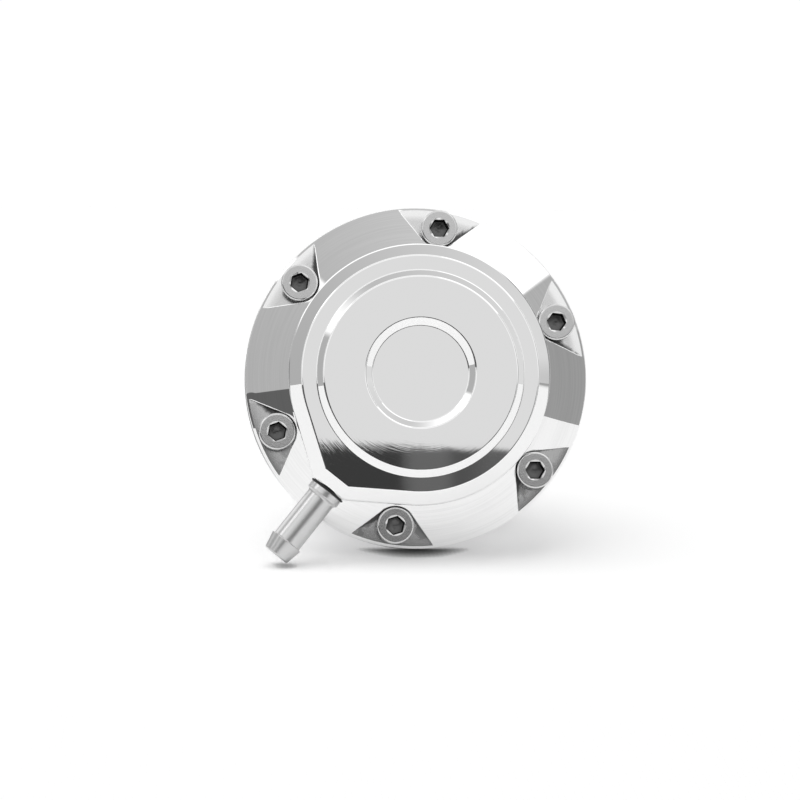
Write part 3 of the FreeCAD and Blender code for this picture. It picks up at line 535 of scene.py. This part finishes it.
taps = [plug(2.26, -43.0, -36.0, 0.25, 0.25,
             origin=(SCREW_CIRCLE * np.cos(a), 0, SCREW_CIRCLE * np.sin(a))) for a in SCREW_ANGLES]
stud_holes = [plug(2.7, -7.4, 0.0, 0.6, 0.6, origin=(x, 0, 0)) for x in STUD_PLACES]
vent = [turned([(0, 24.0), (1.25, 24.0), (1.25, 30.0), (2.5, 30.0), (2.5, 33.0), (0, 33.0)], FULL,
               (0, -17.0, 0), (0, 0, -1), (1, 0, 0))]
# Turned aluminium: the tool's rings, 0.12 mm apart, stay on it and draw out a reflection across
# them, so it is a brighter satin than the milled floors. They are drawn at their real spacing.
turned_aluminium = lined("turned_aluminium", "E4E4E5", 0.2, 0.12, 0.0006)
fitted(bored(skin("canister", [turned(body, np.linspace(0, 2 * np.pi, 241))]),
             *taps, *stud_holes, *vent),
       "housing", "housing", "turned_aluminium", turned_aluminium)


# ---- Mounting studs -----------------------------------------------------------------------------
# Two M6 studs of zinc plated steel, screwed into the mounting face. Their threads are rolled, so
# the crests are full and bright.

def threaded(major, pitch, low, high, breaks):
    """A right-hand metric thread along Y. With d the distance along the axis from the nearest
    crest, the radius is major - 0.5413 pitch * clip((d - pitch / 16) / (5 pitch / 16), 0, 1). At
    each end it is cut by a cone of 45 degrees that takes the break off its radius."""
    angle = np.linspace(0, 2 * np.pi, 61)
    y = np.arange(low, high + 1e-9, pitch / 12)[:, None]
    y = np.append(y, [[high]], 0) if high - y[-1, 0] > 1e-6 else y
    phase = (y / pitch + angle / (2 * np.pi)) % 1
    d = np.abs(phase - 0.5) * pitch
    radius = major - 0.5413 * pitch * np.clip((d - pitch / 16) / (5 * pitch / 16), 0, 1)
    radius = np.minimum(radius, major - breaks[0] + (y - low))
    radius = np.minimum(radius, major - breaks[1] + (high - y))
    closed = np.concatenate([0 * radius[:1], radius, 0 * radius[:1]])
    return about_axis(closed, np.concatenate([y[:1], y, y[-1:]]), angle)


studs = [threaded(3.0, 1.0, -6.8, 15.0, (0.3, 0.9)) + [x, 0, 0] for x in STUD_PLACES]
# Bright zinc plate, passivated: a blue-grey satin, faintly mottled by crystals of 0.5 mm.
zinc = grained("bright_zinc_plate", "C9CACC", 0.25, 0.5, 0.003)
fitted(skin("studs", studs), "mount_studs", "housing", "plated_steel", zinc)


# ---- Diaphragm ----------------------------------------------------------------------------------
# A moulded hat of nitrile rubber on polyester cloth. A bead round its edge sits in the housing's
# groove. Its side would roll as the piston moves, but here it keeps its shape at rest.

def sheeted(line, rounds, thickness):
    """The closed profile of a sheet whose middle is a line with its corners rounded: the line
    moved half the thickness to its left, and back along its right."""
    middle = eased(line, rounds, 8)
    middle = middle[np.r_[True, np.linalg.norm(np.diff(middle, axis=0), axis=1) > 1e-6]]
    run = np.gradient(middle, axis=0)
    left = np.stack([-run[:, 1], run[:, 0]], 1) / np.linalg.norm(run, axis=1)[:, None]
    both = np.vstack([middle + left * thickness / 2, (middle - left * thickness / 2)[::-1]])
    return np.vstack([both, both[:1]])


hat = sheeted([(31.5, -41.6), (25.7, -41.6), (22.9, -50.9), (2.93, -50.9)], [0, 1.4, 1.4, 0], 0.8)
bead = eased([(29.3, -41.25), (31.3, -41.25), (31.3, -39.8), (29.3, -39.8)], [0, 0, 0.4, 0.4],
             4, closed=True)
# Nitrile rubber moulded on polyester cloth: matt black, with the cloth's weave standing out a
# little. The threads are 0.8 mm apart and drawn at 1.6 mm, because a wave of scale 200 repeats
# every pi / (10 * 200) m.
cloth_rubber, tree, shader = surface_of("cloth_backed_rubber", "2A2927", 0.6, 0.0)
place = add(tree, "TexCoord").outputs["Object"]
weave = [add(tree, "TexWave", {"Vector": place, "Scale": 200.0}, bands_direction=thread_way)
         for thread_way in "XZ"]
cloth_level = add(tree, "Math", {0: weave[0], 1: weave[1]}, operation="MULTIPLY")
bump = add(tree, "Bump", {"Strength": 0.6, "Distance": 4e-5, "Height": cloth_level})
tree.links.new(bump.outputs[0], shader.inputs["Normal"])
diaphragm = fitted(skin("rolling_diaphragm", [turned(hat, FULL), turned(bead, FULL)]),
                   "diaphragm", None, "diaphragm_rubber", cloth_rubber)
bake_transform(diaphragm)


# ---- Piston -------------------------------------------------------------------------------------
# A cup pressed from aluminium sheet carries the diaphragm's crown. A plate, two washers and a nut
# clamp both to the shoulder of the rod.

cup = sheeted([(2.93, -49.5), (21.0, -49.5), (21.0, -37.5)], [0, 2.2, 0], 2.0)
plate = eased([(2.93, -52.8), (20.0, -52.8), (20.0, -51.3), (2.93, -51.3)], [0.1, 0.4, 0.4, 0.1],
              4, closed=True)
lock_washer = eased([(2.93, -54.0), (5.3, -54.0), (5.3, -52.8), (2.93, -52.8)], 0.12,
                    4, closed=True)
backing = eased([(2.93, -48.5), (9.0, -48.5), (9.0, -47.0), (2.93, -47.0)], 0.15,
                4, closed=True)


def hexagon_nut(flat, bore, low, high):
    """A nut: its side is the hexagon flat / cos(a - 30) of each sixth, cut at both faces by a cone
    of 30 degrees that starts on the flats."""
    side = flat / np.cos(FULL % (np.pi / 3) - np.pi / 6)
    drop = (side - flat * 0.95) * np.tan(np.radians(30))
    hole, face = bore + 0 * FULL, flat * 0.95 + 0 * FULL
    radius = np.stack([hole, face - 0.02, face, side, side, face, face - 0.02, hole, hole])
    first, last = low + 0 * FULL, high + 0 * FULL
    y = np.stack([first, first, first, low + drop, high - drop, last, last, last, first])
    return about_axis(radius, y, FULL + np.pi / 6)


# Pressed aluminium: the rolled sheet's smooth skin, dulled a little in patches of 0.8 mm.
pressed_aluminium = grained("pressed_aluminium", "D8D8D9", 0.3, 0.8, 0.004)
for name, surface, node, slot, material in (
        ("pressed_cup", turned(cup, FULL), "piston_cup", "pressed_aluminium", pressed_aluminium),
        ("clamp_plate", turned(plate, FULL), "retainer_plate", "pressed_aluminium",
         pressed_aluminium),
        ("lock_washer", turned(lock_washer, FULL), "piston_lock_washer", "plated_steel", zinc),
        ("backing_washer", turned(backing, FULL), "piston_backing_washer", "plated_steel", zinc),
        ("crown_nut", hexagon_nut(5.0, 2.69, -57.2, -54.0), "piston_nut", "plated_steel", zinc)):
    fitted(skin(name, [surface]), node, "rod", slot, material)


# ---- Springs ------------------------------------------------------------------------------------
# Two springs of carbon steel wire, wound opposite ways so that they can't lock together, with
# closed and ground ends. They stand on a pressed seat on the housing's floor.

def coiled(radius, wire, turns, low, high, hand):
    """A spring: its wire's middle turns at a radius and rises evenly, but at a quarter of that
    rate in the closed three quarters of a turn at each end. hand is 1 or -1, the way it is wound.
    The wire's section is a circle across the path, ground flat at both ends."""
    t = np.linspace(0, turns, int(turns * 64) + 1)
    closed = 0.75
    rate = np.where((t < closed) | (t > turns - closed), 0.25, 1.0)
    rise = np.r_[0, np.cumsum((rate[1:] + rate[:-1]) / 2)]
    y = low + wire * 0.25 + (high - low - wire * 0.5) * rise / rise[-1]
    a = hand * 2 * np.pi * t
    middle = about_axis(radius, y, a)
    run = np.gradient(middle, axis=0)
    out = about_axis(1, 0, a)
    up = np.cross(run, out)
    up /= np.linalg.norm(up, axis=1)[:, None]
    u = np.linspace(0, 2 * np.pi, 21)[:, None, None]
    grid = middle + wire / 2 * (np.cos(u) * out + np.sin(u) * up)
    grid = np.concatenate([np.broadcast_to(middle[:1], (21, 1, 3)), grid,
                           np.broadcast_to(middle[-1:], (21, 1, 3))], 1)
    grid[..., 1] = np.clip(grid[..., 1], low, high)
    return grid


# Spring steel, phosphated: a dark matt grey with a crystalline grain of 0.4 mm.
spring_steel = grained("phosphated_spring_steel", "6E7073", 0.45, 0.4, 0.01)
# Both stand 38.5 mm tall at rest. At the joint's limit they would stand 26.5 mm, 0.688 of that,
# but here they keep their rest length.
for name, node, radius, wire, turns, hand in (("strong_spring", "outer_spring", 16.8, 3.2, 4.5, -1),
                                              ("light_spring", "inner_spring", 12.2, 2.0, 5.5, 1)):
    spring = fitted(skin(name, [coiled(radius, wire, turns, -48.5, -10.0, hand)]), node,
                    "housing", "spring_steel", spring_steel)
    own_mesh(spring)
pan = sheeted([(12.5, -9.5), (19.4, -9.5), (19.4, -12.6)], [0, 1.0, 0], 1.0)
fitted(skin("seat_ring", [turned(pan, FULL)]), "spring_seat", "housing", "plated_steel", zinc)


# ---- Rod guide ----------------------------------------------------------------------------------
# A flanged bush of sintered bronze guides the rod. A rubber wiper keeps dirt out, and a spring
# clip in a groove holds both in.

bush = eased([(4.05, -4.5), (8.3, -4.5), (8.3, -6.0), (6.0, -6.0), (6.0, -32.0), (4.05, -32.0)],
             0.15, 4, closed=True)
wiper = eased([(4.05, -4.5), (8.5, -4.5), (8.5, -1.5), (7.3, -1.5), (6.2, -3.0), (4.9, -1.5),
               (4.05, -1.5)], [0.1, 0.2, 0.2, 0.2, 0.4, 0.15, 0.1], 4, closed=True)
# Sintered bronze: pressed powder soaked with oil, a dull brown with fine pores of 0.1 mm.
bronze = grained("sintered_bronze", "B08A55", 0.38, 0.1, 0.01)
fitted(skin("flanged_bush", [turned(bush, FULL)]), "guide_bush", "housing", "bronze", bronze)
fitted(skin("wiper", [turned(wiper, FULL)]), "wiper_seal", "housing", "black_rubber", rubber)

# The clip is a flat ring 1 mm thick, open for 50 degrees at the top. Its inside lies at the radius
# 7.3 - 1.5 exp(-((d - 1) / 1.1)^4), with d the way from its nearer end in millimetres, so a lug
# stands in at each end, with a hole for the pliers.
CLIP_IN, CLIP_OUT, LUG, CLIP_Y = 7.3, 9.0, 1.5, -1.5
a = np.radians(np.linspace(90 + 25, 450 - 25, 161))
lug = np.exp(-((np.minimum(a - a[0], a[-1] - a) * CLIP_IN - 1.0) / 1.1) ** 4)
inside = CLIP_IN - LUG * lug
section = np.array([(0, 0.05), (0.05, 0), (0.95, 0), (1, 0.05), (1, 0.95), (0.95, 1), (0.05, 1),
                    (0, 0.95), (0, 0.05)])
radius = inside + (CLIP_OUT - inside) * section[:, :1]
clip = about_axis(radius, CLIP_Y + section[:, 1:], a)
ends = clip.mean(0, keepdims=True) + 0 * clip
clip = np.concatenate([ends[:, :1], clip, ends[:, -1:]], 1)
eyes = [plug(0.7, -3.0, 0.5, origin=(6.95 * np.cos(b), 0, 6.95 * np.sin(b)))
        for b in (a[0] + 0.16, a[-1] - 0.16)]
# Spring steel, blued in the temper: a thin dark oxide with a soft shine.
clip_steel = grained("blued_clip_steel", "4B4C4F", 0.35, 0.4, 0.006)
fitted(bored(skin("spring_clip", [clip]), *eyes), "guide_circlip", "housing", "spring_steel",
       clip_steel)


# ---- Rod ----------------------------------------------------------------------------------------
# A rod of stainless steel, ground where it slides. Its outer end is threaded so that the eye can
# be set in and out.

spigot = eased([(0, -58.8), (2.67, -58.8), (2.67, -47.0), (4.0, -47.0), (4.0, 38.0), (3.0, 38.6),
                (0, 38.6)], [0, 0.3, 0.1, 0.2, 0.3, 0.1, 0])
# Stainless steel, ground: a bright grey. The wheel's rings, 0.1 mm apart and 0.2 micrometres
# deep, only soften a reflection across them.
ground_steel = lined("ground_stainless_steel", "CFCFCF", 0.14, 0.1, 0.0002)
rod_thread = threaded(3.0, 1.0, 38.3, 87.0, (0.5, 0.7))
fitted(skin("rod_piece", [turned(spigot, FULL), rod_thread]), "actuator_rod", "rod",
       "stainless_steel", ground_steel)


# ---- Rod end ------------------------------------------------------------------------------------
# A round shank with wrench flats, milled down to a flat eye for the pin of the valve's lever. A
# lock nut holds it on the thread.

fitted(skin("lock_nut", [hexagon_nut(5.0, 2.69, 68.0, 73.0)]), "rod_lock_nut", "rod",
       "plated_steel", zinc)


def smooth(low, high, x):
    """The step 3 t^2 - 2 t^3 from 0 at low to 1 at high."""
    share = np.clip((x - low) / (high - low), 0, 1)
    return share * share * (3 - 2 * share)


# The shank's and eye's section at each station y is |x / wide|^n + |z / tall|^n = 1: a circle on
# the shank, a plate with round edges in the eye. tall is the larger of shank and eye, joined by
# the sum of their eighth powers. The shank starts with a chamfer, and between y 76 and 85 its
# wrench flats cut x off at 4.5.
SHANK, EYE, EYE_Y, HALF_PLATE = 5.25, 8.0, 100.0, 3.0
y = np.r_[73.0, 73.0, 73.35, np.linspace(73.6, 76, 9), np.linspace(76, 85, 19),
          np.linspace(85, EYE_Y, 61), EYE_Y + EYE * np.sin(np.linspace(0, np.pi / 2, 41))[1:]]
shank_share = 1 - smooth(92.0, EYE_Y, y)
eye = np.sqrt(np.clip(EYE ** 2 - (y - EYE_Y) ** 2, 0, None))
tall = ((SHANK * shank_share) ** 8 + eye ** 8) ** 0.125
tall = np.where(y > EYE_Y, eye, tall)
wide = SHANK + (HALF_PLATE - SHANK) * smooth(87.0, 93.5, y)
power = 2 + 8 * smooth(87.0, 93.5, y)
chamfer = np.r_[0.0, 4.9 / SHANK, 1.0, np.ones(len(y) - 3)]
a = np.linspace(0, 2 * np.pi, 97)
cos, sin = np.cos(a), np.sin(a)
x = (wide * chamfer)[:, None] * np.sign(cos) * np.abs(cos) ** (2 / power[:, None])
z = (tall * chamfer)[:, None] * np.sign(sin) * np.abs(sin) ** (2 / power[:, None])
flats = np.zeros(len(y), bool)
flats[np.flatnonzero(y == 76)[1]:np.flatnonzero(y == 85)[0] + 1] = True
x = np.where(flats[:, None], np.clip(x, -4.5, 4.5), x)
eye_end = np.stack([x, y[:, None] + 0 * x, z], -1)
pin_hole = [turned([(0, -6), (8.05, -6), (4.05, -2.55), (4.05, 2.55), (8.05, 6), (0, 6)], FULL,
                   (0, EYE_Y, 0), (1, 0, 0), (0, 0, 1))]
fitted(bored(skin("eye_end", [eye_end]), *pin_hole), "rod_end", "rod", "stainless_steel",
       stainless)


# ---- Floor, light and camera --------------------------------------------------------------------
# A white cloth sweep. The actuator lies on the edge of its flange and the eye of its rod, so in
# the part's own axes the floor rises towards the rod.

TILT = np.radians(13.107)  # the slope from the flange's edge, at y -36 and z -39.88, to the eye
floor_up = Vector((-0.015, -np.sin(TILT), np.cos(TILT))).normalized()
floor_front = Vector((0, -np.cos(TILT), -np.sin(TILT)))
x, y = np.meshgrid(np.linspace(-1600, 1600, 9), np.linspace(-270, 700, 9))
z = -39.88 + np.tan(TILT) * (y + 36)
mesh_floor = skin("sweep", [np.stack([x, y, z], -1)])
if mesh_floor.data.polygons[0].normal.z < 0:
    mesh_floor.data.flip_normals()
# Bleached cotton, plainly woven: matt white, a little uneven from thread to thread. The threads
# are 0.5 mm apart and drawn at 1 mm, as a wave of scale 300.
cloth, tree, shader = surface_of("white_cloth", "E8E8E8", 0.9, 0.0)
place = add(tree, "TexCoord").outputs["Object"]
weft = [add(tree, "TexWave", {"Vector": place, "Scale": 300.0, "Distortion": 2.0, "Detail": 1.0},
            bands_direction=thread_way) for thread_way in ("X", "DIAGONAL")]
thread = add(tree, "Math", {0: weft[0], 1: weft[1]}, operation="MULTIPLY")
thread = add(tree, "MapRange", {0: thread, 3: 0.93, 4: 1.02})
# In the cap's reflections the cloth is painted darker from y 5 to 70 mm, where the real one ends:
# a painted reflection.
behind = add(tree, "SeparateXYZ", {0: place}).outputs[1]
behind = add(tree, "MapRange", {0: behind, 1: 0.005, 2: 0.07, 3: 0.9, 4: 0.34},
             interpolation_type="SMOOTHSTEP")
mirrored = add(tree, "LightPath").outputs["Is Glossy Ray"]
dim = add(tree, "Mix", {0: mirrored, 2: thread, 3: behind})
# The shadow where the actuator stands is painted into the cloth's colour and glow: a dark line
# within 2.4 mm, and a faint one within 12 mm.
near = add(tree, "AmbientOcclusion", {"Distance": 0.0024}, samples=8).outputs["AO"]
near = add(tree, "MapRange", {0: near, 3: 0.1, 4: 1.0})
round_about = add(tree, "AmbientOcclusion", {"Distance": 0.012}, samples=8).outputs["AO"]
round_about = add(tree, "MapRange", {0: round_about, 3: 0.8, 4: 1.0})
shaded = add(tree, "Math", {0: near, 1: 0.5}, operation="POWER")
dim = add(tree, "Math", {0: dim, 1: shaded}, operation="MULTIPLY")
dim = add(tree, "Math", {0: dim, 1: round_about}, operation="MULTIPLY")
tint = add(tree, "VectorMath", {0: linear("E8E8E8")[:3], 3: dim}, operation="SCALE")
glow = add(tree, "Math", {0: dim, 1: 0.44}, operation="MULTIPLY")
glow = add(tree, "Math", {0: glow, 1: near}, operation="MULTIPLY")
shader.inputs["Emission Color"].default_value = linear("FFFFFF")
shader.inputs["Specular IOR Level"].default_value = 0.0
tree.links.new(tint.outputs[0], shader.inputs["Base Color"])
tree.links.new(glow.outputs[0], shader.inputs["Emission Strength"])
# From below, the cloth is clear.
facing = add(tree, "NewGeometry").outputs["Backfacing"]
clear = add(tree, "BsdfTransparent")
both_sides = add(tree, "MixShader", {0: facing, 1: shader, 2: clear})
tree.links.new(both_sides.outputs[0], tree.nodes["Material Output"].inputs["Surface"])
mesh_floor.data.materials.append(cloth)

# A studio of soft white light with dark gaps, for the polished cap to reflect. Its patches are
# bounded by measures of the direction looked in: side, depth and tall are its parts along X, Y and
# Z, towards is -depth, degrees its bearing about the Y axis, and level and ahead its parts square
# to the floor and along it to the front. above and beside are heights over two slanted straight
# edges, the borders of the dark front of the room.
world = bpy.data.worlds.new("studio")
bpy.context.scene.world = world
world.use_nodes = True
tree = world.node_tree
look_way = add(tree, "TexCoord").outputs["Generated"]
level, ahead = [add(tree, "VectorMath", {0: look_way, 1: base},
                    operation="DOT_PRODUCT").outputs["Value"] for base in (floor_up, floor_front)]
side, depth, tall = add(tree, "SeparateXYZ", {0: look_way}).outputs
towards = add(tree, "Math", {0: depth, 1: -1.0}, operation="MULTIPLY")
slanted = add(tree, "Math", {0: side, 1: 0.048, 2: level}, operation="MULTIPLY_ADD")
above = add(tree, "Math", {0: ahead, 1: -0.2806, 2: slanted}, operation="MULTIPLY_ADD")
slanted = add(tree, "Math", {0: side, 1: -0.0449, 2: level}, operation="MULTIPLY_ADD")
beside = add(tree, "Math", {0: ahead, 1: -0.2776, 2: slanted}, operation="MULTIPLY_ADD")
degrees = add(tree, "Math", {0: tall, 1: side}, operation="ARCTAN2")
degrees = add(tree, "Math", {0: degrees}, operation="DEGREES")
# Each row is a patch: its brightness, then each measure with its least, its most and how soft
# both borders are. A later row lies over those before it.
light = add(tree, "Math", {0: side, 1: 0.15, 2: 0.60}, operation="MULTIPLY_ADD")
patches = [
    (0.22, (depth, 0.15, 2.0, 0.12), (tall, -0.35, 0.12, 0.10)),
    (1.25, (depth, 0.22, 2.0, 0.05), (tall, 0.40, 2.0, 0.08)),
    (0.20, (degrees, -50, 50, 6), (towards, -0.9, -0.3, 0.05)),
    (0.20, (side, -2.0, -0.25, 0.05), (tall, -0.7, 0.15, 0.05), (towards, -0.9, -0.3, 0.05)),
    (0.76, (towards, 0.97, 2.0, 0.008)),
    (1.25, (degrees, 10, 152, 3), (towards, 0.09, 0.40, 0.03)),
    (1.1, (towards, 0.66, 0.88, 0.01)),
    (1.3, (towards, 0.28, 0.41, 0.01)),
    (0.3, (towards, 0.90, 0.965, 0.01)),
    (0.98, (towards, 0.89, 0.97, 0.01), (tall, 0.05, 2.0, 0.04)),
    (1.30, (degrees, 38.5, 76, 1.0), (towards, 0.25, 0.72, 0.03)),
    (0.345, (degrees, -60, 20, 1.5), (towards, 0.3, 0.7, 0.05)),
    (0.47, (degrees, 20, 38.5, 0.8), (towards, 0.3, 0.7, 0.05)),
    (1.4, (degrees, 129, 139, 1.5), (towards, 0.37, 0.77, 0.03)),
    (2.6, (degrees, 136, 148, 2), (towards, 0.29, 0.42, 0.015)),
    (0.124, (beside, -2.0, 0.0, 0.002), (side, -2.0, -0.30, 0.05), (ahead, 0.3, 2.0, 0.05)),
    (0.085, (above, -2.0, 0.0, 0.0008), (side, -0.30, 0.5, 0.05), (ahead, 0.3, 2.0, 0.05)),
    (0.045, (above, -2.0, 0.0, 0.0008), (side, -0.30, 0.0612, 0.0014), (ahead, 0.3, 2.0, 0.05)),
    (0.135, (above, -2.0, 0.0, 0.0008), (side, 0.0635, 0.0775, 0.003), (ahead, 0.3, 2.0, 0.05)),
    (0.115, (above, -2.0, 0.0, 0.0008), (side, 0.087, 0.5, 0.006), (ahead, 0.3, 2.0, 0.05)),
]
for brightness, *windows in patches:
    share = 1.0
    for measure, least, most, soft in windows:
        for limit, sign in ((least, 1), (most, -1)):
            border = add(tree, "MapRange", {0: measure, 1: limit - soft * sign,
                                            2: limit + soft * sign},
                         interpolation_type="SMOOTHSTEP")
            share = add(tree, "Math", {0: share, 1: border}, operation="MULTIPLY")
    light = add(tree, "Mix", {0: share, 2: light, 3: brightness})
# Matt surfaces see an even grey room, and the camera sees plain white behind it all.
ray = add(tree, "LightPath")
light = add(tree, "Mix", {0: ray.outputs["Is Diffuse Ray"], 2: light, 3: 0.3})
light = add(tree, "Mix", {0: ray.outputs["Is Camera Ray"], 2: light, 3: 1.02})
tree.links.new(light.outputs[0], tree.nodes["Background"].inputs["Color"])

# A large soft lamp overhead, a little to the left and in front, lights the cloth. Its own
# reflection is among the patches already, so gloss doesn't see it.
lamp = bpy.data.lights.new("key", "SUN")
lamp.energy, lamp.angle = 1.55, np.radians(60)
key = bpy.data.objects.new("key", lamp)
key.rotation_mode = "QUATERNION"
key.rotation_quaternion = Vector((0.25, 0.30, -0.92)).to_track_quat("-Z", "Y")
key.visible_glossy = False
bpy.context.scene.collection.objects.link(key)

# The camera looks at the cap's middle from 0.7 m away, a little to the left of its axis and a
# little below it. Its focal length and how far that middle is off the frame's are in pixels.
FRAME, FOCAL, OFF_RIGHT, OFF_UP = 800, 2992, 16.15, 22.3
look = Vector((0.066, 0.9956, 0.066)).normalized()
right = look.cross(Vector((0, 0, 1))).normalized()
up = right.cross(look)
forward = (look - right * (OFF_RIGHT / FOCAL) - up * (OFF_UP / FOCAL)).normalized()
right = forward.cross(Vector((0, 0, 1))).normalized()
up = right.cross(forward)
lens = bpy.data.cameras.new("camera")
lens.sensor_width, lens.lens = 36.0, FOCAL * 36 / FRAME
lens.clip_start, lens.clip_end = 0.01, 20.0
camera = bpy.data.objects.new("camera", lens)
axes = Matrix((right, up, -forward)).transposed().to_4x4()
camera.matrix_world = Matrix.Translation(Vector((0, -0.046, 0)) - look * 0.7) @ axes
bpy.context.scene.collection.objects.link(camera)
bpy.context.scene.camera = camera
bpy.context.scene.view_settings.view_transform = "Standard"
